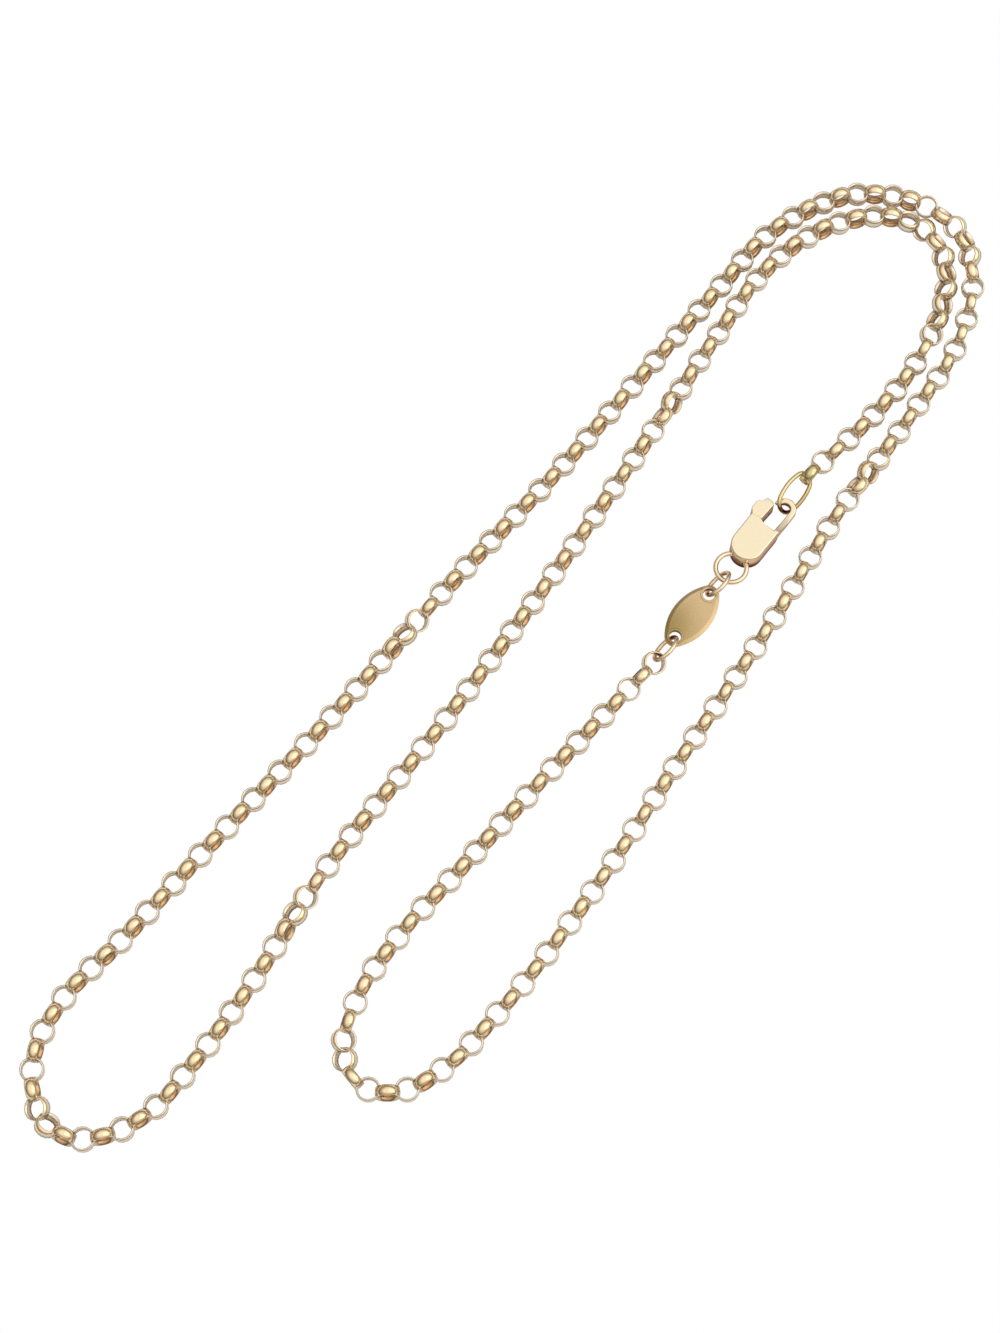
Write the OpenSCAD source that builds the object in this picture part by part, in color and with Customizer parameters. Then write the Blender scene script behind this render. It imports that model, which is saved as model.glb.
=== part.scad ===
// Rolo chain necklace, fastened and laid on a table as one long folded loop.
// Millimetres, +Z up, strands along X, origin at the middle of the footprint on the table.

/* [Chain] */
// Outside diameter of a round chain link
link_od = 2.42; // [2:0.02:3]
// Wall thickness of a chain link
link_wall = 0.25; // [0.18:0.01:0.35]
// Width of the band that a chain link is made from
link_band = 0.98; // [0.7:0.05:1.1]
// Drop of the domed inside and outside faces from their middle to their edge
link_dome = 0.08; // [0.03:0.01:0.09]
// Lean of the first link, which lies nearly flat, in degrees
first_lean = 24; // [20:1:30]
// Lean of the last link, which stands nearly upright, in degrees
last_lean = 105; // [95:1:115]

/* [Tag] */
// Length of the tag from tip to tip
tag_l = 7.7; // [7:0.1:9]
// Width of the tag at its middle
tag_w = 4; // [3.4:0.1:5]
// Thickness of the tag
tag_t = 0.4; // [0.3:0.05:0.45]
// Radius of the rounded tips of the tag
tag_tip_r = 1.05; // [0.95:0.05:1.3]
// Width of the sloped edge round the tag
tag_bevel = 0.35; // [0.1:0.05:0.45]
// Diameter of the two holes in the tag
tag_hole_d = 1.2; // [1.15:0.05:1.25]
// Width of the raised rim round each hole
rim_w = 0.25; // [0.15:0.05:0.3]
// Height of the raised rim above the face of the tag
rim_h = 0.06; // [0.04:0.01:0.1]

/* [Tag links] */
// Length of each of the two links that hold the tag
small_link_l = 3.45; // [3.2:0.05:4]
// Width of those links
small_link_w = 2.8; // [2.6:0.05:2.8]
// Wire thickness of those links
small_wire = 0.45; // [0.35:0.01:0.46]
// Lean of the link between the tag and the chain, in degrees
chain_side_lean = 54; // [52:1:56]
// Lean of the link between the tag and the round jump ring, in degrees
ring_side_lean = 54; // [52:1:56]

/* [Jump ring] */
// Outside diameter of the round jump ring
ring_od = 3.6; // [3.2:0.1:4.2]
// Wire thickness of the jump ring
ring_wire = 0.5; // [0.4:0.02:0.56]

/* [Clasp] */
// Length of the clasp from its tail to its crown
clasp_l = 8.55; // [8.2:0.05:10]
// Width of the clasp body
clasp_w = 3.4; // [3.2:0.05:4]
// Thickness of the clasp
clasp_h = 2.4; // [2.35:0.05:2.8]
// Thickness of the metal between the jump ring and the tail of the clasp
tail_wall = 0.22; // [0.18:0.01:0.4]
// Outside radius of the hook
hook_r = 1.2; // [1.1:0.05:1.4]
// Thickness of the hook where it curls over
hook_wall = 0.6; // [0.5:0.02:0.7]
// Thickness of the hook across the face
hook_h = 0.7; // [0.6:0.02:0.8]
// Thickness of the tip of the hook across the face
tip_h = 0.4; // [0.3:0.02:0.5]
// Gap between the hook's tip and the lever's tip, less than a wire's thickness
tip_gap = 0.3; // [0.25:0.01:0.4]
// Width of the arm that carries the hook
arm_w = 0.5; // [0.4:0.05:0.7]
// Length from the tail of the clasp to the start of its window
window_start = 4.45; // [4.3:0.05:4.8]
// Thickness of each of the two cheeks that hold the lever
cheek_t = 0.5; // [0.35:0.05:0.6]

/* [Lever] */
// Distance of the lever's pin from the tail of the clasp
pin_u = 3.3; // [3.2:0.05:3.4]
// Distance of the lever's pin from the middle line of the clasp
pin_v = 0.95; // [0.85:0.05:1]
// Radius of the lever's pin
pin_r = 0.35; // [0.25:0.01:0.4]
// Radial play between the pin and the lever
pin_play = 0.04; // [0.02:0.01:0.08]
// Radius of the round heel of the lever
heel_r = 0.75; // [0.65:0.05:0.85]
// Thickness of the front of the lever
lever_h = 2.1; // [1.6:0.05:2.2]
// Thickness of the tip of the lever
lever_tip_h = 1.9; // [0.4:0.05:2]
// Height of the thumb nub beside the clasp
nub_h = 0.4; // [0.3:0.05:0.6]
// Length of the thumb nub along the clasp
nub_l = 1.8; // [1.5:0.05:1.85]
// Distance of the middle of the thumb nub from the tail of the clasp
nub_x = 5.65; // [5.6:0.05:5.75]

/* [End link] */
// Length of the oval end link that the clasp hooks into
end_link_l = 5.1; // [4.9:0.05:6]
// Width of the end link
end_link_w = 3.1; // [3:0.05:3.1]
// Wire thickness of the end link
end_wire = 0.45; // [0.35:0.01:0.48]
// Lean of the end link, in degrees
end_link_lean = 47; // [45:1:47]

/* [Fits] */
// Play between two pieces that run in each other
play = 0.08; // [0.05:0.01:0.12]

/* [Hidden] */
$fn = 48;

gold = "goldenrod";
pale_gold = "palegoldenrod";

// Where the fastening lies: its middle line, its height above the table and the clasp's tail
line_y = -7;
line_z = clasp_h / 2;
clasp_x = 20.2;

// Insides of the rings, and the radius of the domed faces of a chain link
link_in_r = link_od / 2 - link_wall;
dome_r = (pow(link_band / 2, 2) + pow(link_dome, 2)) / (2 * link_dome);
ring_in_r = ring_od / 2 - ring_wire;

// Pieces to the left of the clasp, each placed from the one before it: a room is the gap
// between the inner ends of two links that hold each other, and hole_shift is how far the
// wire in a hole of the tag lies outside the hole's centre
ring_room = 0.4;
first_room = 0.3;
hole_shift = 0.05;
wire_reach = (small_link_l - small_wire) / 2;
tag_hole_gap = tag_l - 2 * tag_tip_r;
ring_x = clasp_x + tail_wall + play - ring_in_r;
ring_link_x = ring_x - ring_in_r + ring_room + small_wire - small_link_l / 2;
tag_x = ring_link_x - wire_reach - hole_shift - tag_hole_gap / 2;
chain_link_x = tag_x - tag_hole_gap / 2 - hole_shift - wire_reach;
first_x = chain_link_x - small_link_l / 2 + small_wire + first_room - link_in_r;

// The clasp's body: the cut along its tail's edges, the block that reaches past the middle
// line at the foot of the window, and the arm's way from the body's thickness to the hook's,
// which starts at the foot of the window: a long slope above and a short step below
tail_cut = 0.3;
block_rise = 0.1;
slope_l = 1.95;
step_l = 0.15;

// The hook, whose end is cut at a slant towards the tip of the lever
hook_x = clasp_l - hook_r;
hook_y = hook_r - clasp_w / 2;
hook_in_r = hook_r - hook_wall;
hook_tip = hook_x;
tip_slant = 0.5;
lever_tip = hook_tip - tip_gap;

// The lever: where its solid front starts, measured from its pin, how far the stalk of the
// heel reaches into that front, the dip and the cut corners at its tip, and its fall past the
// nub
front_r = 1.48;
cheek_r = front_r - play;
cheek_gap = clasp_h - 2 * cheek_t;
stalk_in = 0.2;
tip_dip = 0.1;
tip_cut = [0.2, 0.4];
tip_fall = 0.25;
nub_fall = 0.1;

// Pieces to the right of the clasp: the end link hangs in the hook, beside its middle
crown_room = 0.46;
last_room = 0.32;
end_link_y = -0.2;
crown_in_x = clasp_x + hook_x + sqrt(pow(hook_in_r, 2) - pow(end_link_y - hook_y, 2));
end_link_x = crown_in_x - crown_room - end_wire + end_link_l / 2;
last_x = end_link_x + (end_link_l - end_wire) / 2 + last_room;

// The last link leans, and rests on its dome or, when it leans far, on the edge of its band
last_z =
    dome_r * abs(cos(last_lean)) < link_band / 2
    ? (link_od / 2 - dome_r) * abs(sin(last_lean)) + dome_r
    : (link_od / 2 - link_dome) * abs(sin(last_lean)) + link_band / 2 * abs(cos(last_lean));

// Middle line of the chain on the table, from the first link round to the last
ROUTE = [
    [first_x, line_y], [-13, -5.5], [-22, -5], [-31, -4.5], [-38, -5.25], [-42, -7],
    [-43.75, -9.25], [-43.75, -11.75], [-42, -14], [-38, -15.75], [-31, -16.5],
    [-19, -16.5], [0, -15], [18, -13.5], [30, -12], [44, -11.5], [54, -10.5], [60.75, -7.5],
    [64.25, -3.5], [64.75, 0], [63.5, 4.5], [61, 8], [57, 10.5], [51.5, 12.25], [44, 12.5],
    [32, 12.75], [18, 13], [0, 14], [-19, 14.5], [-36, 15.5], [-47, 16], [-55, 16.6],
    [-60, 15.5], [-63.25, 13], [-64.75, 10], [-64.25, 7.25], [-61.75, 4.75], [-58, 3.25],
    [-52, 3], [-43.5, 3.5], [-32, 5], [-11, 5.5], [7.5, 6.5], [25, 8], [40, 9.5],
    [47, 10], [52.5, 9.25], [58, 6.75], [61.25, 3.5], [62.25, 0], [61.5, -2.75],
    [59.25, -5.25], [55, -7.25], [49, -8.5], [42, -8.5], [last_x, line_y + end_link_y]
];

// The tube that stands for the chain is as high as a link that stands on its edge, and
// narrower than a link that lies flat by tube_slack, so that strands which nearly touch stay
// apart; it keeps clear of the first and the last link
tube_sides = 8;
tube_slack = 0.22;
tube_w = link_od - tube_slack;
tube_step = 7;
tube_end = link_od / 2 + play;

// Length of one stretch of the route, and the direction of the route at one of its points
stretches = len(ROUTE) - 1;
function span(i) = norm(ROUTE[i + 1] - ROUTE[i]);
function run(i) = (ROUTE[i + 1] - ROUTE[i]) / span(i);
function heading(i) =
    i == 0 ? run(0)
    : i == stretches ? run(i - 1)
    : (run(i - 1) * span(i) + run(i) * span(i - 1)) / (span(i - 1) + span(i));

// A point on the smooth curve, at share t of stretch i, and its direction there
function on_route(i, t) =
    (2 * t * t * t - 3 * t * t + 1) * ROUTE[i]
    + (t * t * t - 2 * t * t + t) * span(i) * heading(i)
    + (3 * t * t - 2 * t * t * t) * ROUTE[i + 1]
    + (t * t * t - t * t) * span(i) * heading(i + 1);
function way(i, t) =
    let (v = (6 * t * t - 6 * t) * (ROUTE[i] - ROUTE[i + 1]) / span(i)
             + (3 * t * t - 4 * t + 1) * heading(i) + (3 * t * t - 2 * t) * heading(i + 1))
    v / norm(v);

// Rings of the tube: one on a short stretch, and more on a long one
function rings_on(i) = max(1, round(span(i) / tube_step));
tube_stops = [
    for (i = [0 : stretches - 1])
        let (n = rings_on(i), last = i == stretches - 1)
        for (k = [0 : last ? n : n - 1])
            [i, i == 0 && k == 0 ? tube_end / span(0)
                : last && k == n ? 1 - tube_end / span(i) : k / n]
];

// A ring of points round the middle line
function tube_ring(stop) =
    let (p = on_route(stop[0], stop[1]), d = way(stop[0], stop[1]))
    [for (k = [0 : tube_sides - 1])
        let (a = 360 * k / tube_sides)
        [p[0] - d[1] * cos(a) * tube_w / 2, p[1] + d[0] * cos(a) * tube_w / 2,
         (1 + sin(a)) * link_od / 2]];

// The chain, as one closed tube
module chain() {
    rings = len(tube_stops);
    points = [for (stop = tube_stops) each tube_ring(stop)];
    sides = [
        for (r = [0 : rings - 2], k = [0 : tube_sides - 1])
            let (a = r * tube_sides, n = (k + 1) % tube_sides)
            [a + k, a + tube_sides + k, a + tube_sides + n, a + n]
    ];
    start = [for (k = [0 : tube_sides - 1]) k];
    finish = [for (k = [tube_sides - 1 : -1 : 0]) (rings - 1) * tube_sides + k];
    color(gold) polyhedron(points, concat([start], sides, [finish]), convexity = 10);
}

// One round link: a thin band, domed inside and outside, with its axis along Z
module rolo_link() {
    rotate_extrude()
        intersection() {
            translate([link_in_r, -link_band / 2]) square([link_wall, link_band]);
            translate([link_od / 2 - dome_r, 0]) circle(dome_r, $fn = 96);
            translate([link_in_r + dome_r, 0]) circle(dome_r, $fn = 96);
        }
}

// The first link lies flat, the last one stands on its edge
module first_link() {
    color(gold) translate([first_x, line_y, line_z]) rotate([first_lean, 0, 0]) rolo_link();
}

module last_link() {
    color(gold) translate([last_x, line_y + end_link_y, last_z])
        rotate([last_lean, 0, 0]) rolo_link();
}

// Centre distance and radius of the long side arcs of an oval, from its half length a,
// half width b and tip radius r; the tips and the sides meet without a corner
function side_r(a, b, r) = (pow(a - r, 2) + b * b - r * r) / (2 * (b - r));
function side_angle(a, b, r) = asin((a - r) / (side_r(a, b, r) - r));

// Middle line of an oval wire where it faces the direction q: two tip arcs, two side arcs
function oval_spot(a, b, r, q) =
    let (lean = side_angle(a, b, r), big = side_r(a, b, r))
    abs(cos(q)) > sin(lean)
        ? [sign(cos(q)) * (a - r), 0] + r * [cos(q), sin(q)]
        : [0, sign(sin(q)) * (b - big)] + big * [cos(q), sin(q)];

// A wire bent into an oval link that lies flat round the origin
module oval_link(l, w, wire, tip_share = 0.85) {
    a = (l - wire) / 2;
    b = (w - wire) / 2;
    r = b * tip_share;
    lean = side_angle(a, b, r);
    tip_steps = 8;
    side_steps = 6;
    facing = [
        for (s = [0, 180]) each concat(
            [for (k = [0 : tip_steps - 1])
                s + lean - 90 + (180 - 2 * lean) * k / tip_steps],
            [for (k = [0 : side_steps - 1]) s + 90 - lean + 2 * lean * k / side_steps])
    ];
    sides = 10;
    points = [
        for (q = facing, k = [0 : sides - 1])
            let (spot = oval_spot(a, b, r, q), turn = 360 * k / sides,
                 out = cos(turn) * wire / 2)
            [spot[0] + out * cos(q), spot[1] + out * sin(q), sin(turn) * wire / 2]
    ];
    rings = len(facing);
    faces = [
        for (g = [0 : rings - 1], k = [0 : sides - 1])
            let (here = g * sides, next = (g + 1) % rings * sides, n = (k + 1) % sides)
            [here + k, here + n, next + n, next + k]
    ];
    polyhedron(points, faces, convexity = 6);
}

module tag_link_chain() {
    color(gold) translate([chain_link_x, line_y, line_z]) rotate([-chain_side_lean, 0, 0])
        oval_link(small_link_l, small_link_w, small_wire);
}

module tag_link_ring() {
    color(gold) translate([ring_link_x, line_y, line_z]) rotate([-ring_side_lean, 0, 0])
        oval_link(small_link_l, small_link_w, small_wire);
}

module end_link() {
    color(gold) translate([end_link_x, line_y + end_link_y, link_od / 2])
        rotate([end_link_lean, 0, 0]) oval_link(end_link_l, end_link_w, end_wire);
}

// Filled outline of the tag, drawn in by inset on all sides
module tag_outline(inset) {
    a = tag_l / 2 - inset;
    b = tag_w / 2 - inset;
    r = tag_tip_r - inset;
    big = side_r(a, b, r);
    join = a - r + r * sin(side_angle(a, b, r));
    intersection() {
        translate([0, b - big]) circle(big, $fn = 160);
        translate([0, big - b]) circle(big, $fn = 160);
        square([2 * join, 2 * b], center = true);
    }
    for (s = [-1, 1]) translate([s * (a - r), 0]) circle(r);
}

module tag() {
    color(pale_gold) translate([tag_x, line_y, line_z]) difference() {
        union() {
            hull() {
                translate([0, 0, -tag_t / 8]) linear_extrude(tag_t / 4) tag_outline(0);
                translate([0, 0, -tag_t / 2]) linear_extrude(tag_t) tag_outline(tag_bevel);
            }
            for (s = [-1, 1]) translate([s * tag_hole_gap / 2, 0, -tag_t / 2 - rim_h])
                cylinder(h = tag_t + 2 * rim_h, r = tag_hole_d / 2 + rim_w);
        }
        for (s = [-1, 1]) translate([s * tag_hole_gap / 2, 0, -tag_t])
            cylinder(h = 2 * tag_t, r = tag_hole_d / 2);
    }
}

// A round wire ring that lies flat round the origin
module wire_ring(middle_d, wire_r) {
    rotate_extrude() translate([middle_d / 2, 0]) circle(wire_r);
}

module jump_ring() {
    color(gold) translate([ring_x, line_y, line_z])
        wire_ring(ring_od - ring_wire, ring_wire / 2);
}

// Plan of the clasp body: a round tail and the cheeks
module body_plan() {
    half = clasp_w / 2;
    translate([half, 0]) circle(half);
    translate([half, -half]) square([pin_u - half, clasp_w]);
    translate([half, -half]) square([window_start - half, half + block_rise]);
    intersection() {
        translate([pin_u, pin_v]) circle(cheek_r);
        translate([half, -half]) square([clasp_l, clasp_w]);
    }
}

// Plan of the arm, which ends in the hook
module arm_plan() {
    half = clasp_w / 2;
    translate([half, -half]) square([hook_x - half, arm_w]);
}

// Plan of the hook: it curls from the arm round the crown and back to its tip
module hook_plan() {
    difference() {
        translate([hook_x, hook_y]) circle(hook_r);
        translate([hook_x, hook_y]) circle(hook_in_r);
        polygon([
            [0, hook_y], [hook_tip + tip_slant, hook_y], [hook_tip, hook_y + hook_r],
            [hook_tip, clasp_w], [0, clasp_w]
        ]);
        translate([0, hook_y - hook_in_r]) square([hook_x, hook_in_r]);
    }
}

// The hook seen along the clasp: full thickness up to its middle, then thinner to its tip
module hook_view() {
    full = hook_h / 2;
    thin = tip_h / 2;
    polygon([
        [-clasp_w / 2, -full], [hook_y, -full], [hook_y + hook_r, -thin],
        [hook_y + hook_r, thin], [hook_y, full], [-clasp_w / 2, full]
    ]);
}

// Side view of the body, with its tail's edges cut off
module body_view() {
    top = clasp_h / 2;
    polygon([
        [0, -top + tail_cut], [tail_cut, -top], [clasp_l, -top], [clasp_l, top],
        [tail_cut, top], [0, top - tail_cut]
    ]);
}

// Side view of the arm: full thickness up to the window, then cut away below and sloped
// above down to the thickness of the hook
module arm_view() {
    top = clasp_h / 2;
    thin = hook_h / 2;
    polygon([
        [0, -top], [window_start, -top], [window_start + step_l, -thin], [clasp_l, -thin],
        [clasp_l, thin], [window_start + slope_l, thin], [window_start, top], [0, top]
    ]);
}

// A side view drawn out to a solid that is wider than the clasp
module across() {
    translate([0, clasp_w, 0]) rotate([90, 0, 0]) linear_extrude(2 * clasp_w) children();
}

module clasp_body() {
    color(pale_gold) translate([clasp_x, line_y, line_z]) {
        difference() {
            union() {
                intersection() {
                    translate([0, 0, -clasp_h / 2]) linear_extrude(clasp_h) body_plan();
                    across() body_view();
                }
                intersection() {
                    translate([0, 0, -clasp_h / 2]) linear_extrude(clasp_h) arm_plan();
                    across() arm_view();
                }
                intersection() {
                    translate([0, 0, -hook_h / 2]) linear_extrude(hook_h) hook_plan();
                    rotate([90, 0, 90]) linear_extrude(clasp_l) hook_view();
                }
            }
            translate([pin_u, pin_v, -cheek_gap / 2]) cylinder(h = cheek_gap, r = front_r + play);
            translate([ring_x - clasp_x, 0, 0])
                wire_ring(ring_od - ring_wire, ring_wire / 2 + play);
        }
        translate([pin_u, pin_v, -clasp_h / 2 + cheek_t / 2])
            cylinder(h = clasp_h - cheek_t, r = pin_r);
    }
}

// Plan of the lever in front of the cheeks: it narrows from the thumb nub to its tip
module lever_plan() {
    inner = pin_v - heel_r / 2;
    low = inner - tip_dip;
    half = clasp_w / 2;
    difference() {
        polygon([
            [pin_u, inner], [lever_tip - tip_cut[0], low], [lever_tip, low + tip_cut[1]],
            [lever_tip, half - tip_fall], [nub_x + nub_l / 2, half - nub_fall],
            [nub_x + nub_l / 4, half + nub_h], [nub_x - nub_l / 4, half + nub_h],
            [nub_x - nub_l / 2, half], [pin_u, half]
        ]);
        translate([pin_u, pin_v]) circle(front_r);
    }
}

// Side view of the lever: full thickness to the end of the nub, then thinner to its tip
module lever_side() {
    full = lever_h / 2;
    thin = lever_tip_h / 2;
    thin_start = nub_x + nub_l / 2;
    polygon([
        [0, -full], [thin_start, -full], [lever_tip, -thin], [lever_tip, thin],
        [thin_start, full], [0, full]
    ]);
}

module clasp_lever() {
    heel_h = cheek_gap - 2 * play;
    color(pale_gold) translate([clasp_x, line_y, line_z]) difference() {
        union() {
            intersection() {
                translate([0, 0, -lever_h / 2]) linear_extrude(lever_h) lever_plan();
                across() lever_side();
            }
            translate([pin_u, pin_v, -heel_h / 2]) cylinder(h = heel_h, r = heel_r);
            translate([pin_u, pin_v - heel_r / 2, -heel_h / 2])
                cube([front_r + stalk_in, heel_r, heel_h]);
        }
        translate([pin_u, pin_v, -clasp_h]) cylinder(h = 2 * clasp_h, r = pin_r + pin_play);
    }
}

chain();
first_link();
last_link();
tag();
tag_link_chain();
tag_link_ring();
jump_ring();
clasp_body();
clasp_lever();
end_link();
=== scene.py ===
# %% [markdown]
# # A rolo chain necklace, fastened and laid on a table
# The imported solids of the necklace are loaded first, as a frame that never moves. They know
# where each piece lies and how the lever of the clasp turns. What follows models the pieces
# as they look close up, each in the place of its solid: the round links, the tag, the wire
# links, the ring and the clasp. Sizes are in millimetres and are taken from the frame where
# it has them, so a piece lands where its solid is.

# %% Load the frame
import math
import random

import bmesh
import bpy
from mathutils import Matrix, Vector


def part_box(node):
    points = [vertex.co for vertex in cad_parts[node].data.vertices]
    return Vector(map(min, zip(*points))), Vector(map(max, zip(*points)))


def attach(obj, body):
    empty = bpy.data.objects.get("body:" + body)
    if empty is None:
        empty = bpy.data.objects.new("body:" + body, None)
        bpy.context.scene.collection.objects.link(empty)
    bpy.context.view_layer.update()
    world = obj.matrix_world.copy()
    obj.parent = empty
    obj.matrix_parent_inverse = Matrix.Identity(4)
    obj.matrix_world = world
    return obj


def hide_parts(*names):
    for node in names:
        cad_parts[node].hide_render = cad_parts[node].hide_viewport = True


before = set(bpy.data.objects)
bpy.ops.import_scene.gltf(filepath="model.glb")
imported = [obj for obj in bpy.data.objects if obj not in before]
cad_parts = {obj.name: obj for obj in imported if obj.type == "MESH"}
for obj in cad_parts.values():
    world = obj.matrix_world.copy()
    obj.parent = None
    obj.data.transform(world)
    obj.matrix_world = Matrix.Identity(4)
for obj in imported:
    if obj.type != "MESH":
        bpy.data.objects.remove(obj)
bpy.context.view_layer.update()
MM = 0.001


def size_of(node):
    """Length, width and height of a solid of the frame, in millimetres."""
    low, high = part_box(node)
    return (high - low) / MM


def middle_of(node):
    """Middle of a solid of the frame, in millimetres."""
    low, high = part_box(node)
    return (high + low) / 2 / MM


print("solids:", ", ".join(sorted(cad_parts)))

# %% [markdown]
# # The camera
# The photograph looks down steeply, 70 degrees above the table, and slantwise across the
# strands. A long lens keeps the two ends of the loop nearly the same size. The camera is
# placed by the point that it looks at, its two angles and its distance, so each can be judged
# by itself.

# %% Camera
ELEVATION = math.radians(70)
AZIMUTH = math.radians(-52)
DISTANCE = 271.4
LOOKS_AT = Vector((-3.2, 4.72, 1.15))
LENS = 74.5
SENSOR = 36
NEAREST = 10

backwards = Vector((
    math.sin(AZIMUTH) * math.cos(ELEVATION),
    -math.cos(AZIMUTH) * math.cos(ELEVATION),
    math.sin(ELEVATION)))
camera = bpy.data.objects.new("camera", bpy.data.cameras.new("camera"))
bpy.context.scene.collection.objects.link(camera)
camera.data.lens = LENS
camera.data.sensor_width = SENSOR
camera.location = (LOOKS_AT + DISTANCE * backwards) * MM
camera.rotation_euler = (-backwards).to_track_quat("-Z", "Y").to_euler()
camera.data.clip_start = NEAREST * MM
bpy.context.scene.camera = camera
print("camera at", [round(c, 4) for c in camera.location])

# %% [markdown]
# # Working by hand, in code
# An operator acts on all that is selected, and the frame leaves its solids selected. So each
# step starts by deselecting everything. Faces and edges are then selected by where they lie
# or which way they face, as a hand would pick them.

# %% Helpers for selecting
PARTS = {"verts": (True, False, False), "edges": (False, True, False),
         "faces": (False, False, True)}


def pick(piece, *others):
    """Selects these objects and nothing else, with the first one active."""
    if bpy.context.mode != "OBJECT":
        bpy.ops.object.mode_set(mode="OBJECT")
    bpy.ops.object.select_all(action="DESELECT")
    for each in (piece, *others):
        each.select_set(True)
    bpy.context.view_layer.objects.active = piece


def begin(name):
    """Names the primitive that was added last, and opens it in edit mode."""
    piece = bpy.context.object
    piece.name = piece.data.name = name
    pick(piece)
    bpy.ops.object.mode_set(mode="EDIT")
    return piece


def place_of(item):
    """Middle of a vertex, an edge or a face."""
    if isinstance(item, bmesh.types.BMVert):
        return item.co
    return sum((v.co for v in item.verts), Vector()) / len(item.verts)


def select(piece, part, test):
    """Selects, in edit mode, the vertices, edges or faces that pass a test."""
    mesh = bmesh.from_edit_mesh(piece.data)
    bpy.ops.mesh.select_all(action="DESELECT")
    bpy.context.tool_settings.mesh_select_mode = PARTS[part]
    for item in getattr(mesh, part):
        if test(item):
            item.select_set(True)
    mesh.select_flush_mode()
    bmesh.update_edit_mesh(piece.data)


def is_sharp(edge, degrees=40):
    """Whether the two faces of an edge meet at more than this angle."""
    return edge.calc_face_angle(0) > math.radians(degrees)


print("a test can pick", ", ".join(PARTS))

# %% [markdown]
# # Cutting, rounding and smoothing
# Modelling happens in millimetres round the origin, because the merging distances of edit
# mode suit numbers near one. Modifiers are applied at once, so the next step works on real
# faces. A spin or a cut can leave double points and faces that point inwards, so both are
# mended after it. Round wire is shaded smooth all over, and what has edges keeps them sharp.

# %% Helpers for shaping
MERGE = 0.0005
BEVEL_STEPS = 3


def put_on(piece, kind, **settings):
    """Adds a modifier with these settings and applies it."""
    pick(piece)
    modifier = piece.modifiers.new(kind.lower(), kind)
    for name, value in settings.items():
        setattr(modifier, name, value)
    bpy.ops.object.modifier_apply(modifier=modifier.name)


def cut_or_join(piece, other, operation):
    """Cuts another object out of a piece, or joins it to the piece, and removes it."""
    put_on(piece, "BOOLEAN", object=other, operation=operation, solver="EXACT")
    bpy.data.objects.remove(other)


def face_outwards(piece):
    """Merges what a spin or a cut left double, and turns every face outwards."""
    pick(piece)
    bpy.ops.object.mode_set(mode="EDIT")
    bpy.ops.mesh.select_all(action="SELECT")
    bpy.ops.mesh.remove_doubles(threshold=MERGE)
    bpy.ops.mesh.normals_make_consistent(inside=False)
    bpy.ops.object.mode_set(mode="OBJECT")


def round_edges(piece, width, test):
    """Bevels the edges that pass a test, in edit mode."""
    select(piece, "edges", test)
    bpy.ops.mesh.bevel(offset=width, segments=BEVEL_STEPS, affect="EDGES")


def smooth(piece, crease):
    """Shades a piece smooth, except where its faces meet at more than the crease."""
    pick(piece)
    bpy.ops.object.shade_smooth_by_angle(angle=math.radians(crease))
    put_on(piece, "WEIGHTED_NORMAL", keep_sharp=True)


def finish_wire(piece):
    """Closes a wire that was spun to a ring in edit mode, and shades it smooth."""
    pick(piece)
    bpy.ops.object.transform_apply(location=True, rotation=True, scale=True)
    face_outwards(piece)
    bpy.ops.object.shade_smooth()


print(f"doubles merge within {MERGE} mm, and a rounded edge has {BEVEL_STEPS} steps")

# %% [markdown]
# # Handing a piece over
# A finished piece is shrunk to metres, and its place is applied to its mesh. Then it takes
# its material and the body of the solid that it stands for, and hides that solid. Its
# open edges are counted, because a closed piece has none, and its volume is above zero only
# where its faces point outwards.

# %% Hand-over
def settle(piece, material, slot, body, *nodes):
    """Shrinks a finished piece to metres and hands it to the frame."""
    pick(piece)
    piece.location *= MM
    piece.scale *= MM
    bpy.ops.object.transform_apply(location=True, rotation=True, scale=True)
    piece.data.materials.clear()
    piece.data.materials.append(material)
    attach(piece, body)
    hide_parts(*nodes)
    shape = bmesh.new()
    shape.from_mesh(piece.data)
    open_edges = sum(not edge.is_manifold for edge in shape.edges)
    volume = shape.calc_volume(signed=True) / MM**3
    shape.free()
    print(f"{piece.name}: {len(piece.data.polygons)} faces, {open_edges} open edges,",
          f"{volume:.2f} cubic mm, size in mm", [round(c / MM, 2) for c in piece.dimensions])


# %% [markdown]
# # Building materials from nodes
# A material is a small net of nodes. An effect that several materials use is built once, as
# a node group with named inputs, and placed in each of them with its own numbers. These
# helpers keep that short: one line adds a node, and each setting that names a socket either
# sets the socket or links another node into it.

# %% Helpers for nodes
FIELDS = {"Float": "NodeSocketFloat", "Color": "NodeSocketColor", "Vector": "NodeSocketVector"}


def new_group(name, inputs, outputs):
    """An empty shader group with named inputs, each with its starting value, and outputs."""
    group = bpy.data.node_groups.new(name, "ShaderNodeTree")
    for title, kind, value in inputs:
        socket = group.interface.new_socket(
            name=title, in_out="INPUT", socket_type=FIELDS[kind])
        if value is not None:
            socket.default_value = value
    for title, kind in outputs:
        group.interface.new_socket(name=title, in_out="OUTPUT", socket_type=FIELDS[kind])
    return group, group.nodes.new("NodeGroupInput"), group.nodes.new("NodeGroupOutput")


def fill(tree, socket, value):
    """Links an output into a socket, or sets the socket to a number, a vector or a colour."""
    if isinstance(value, bpy.types.NodeSocket):
        tree.links.new(value, socket)
    else:
        socket.default_value = value


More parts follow.
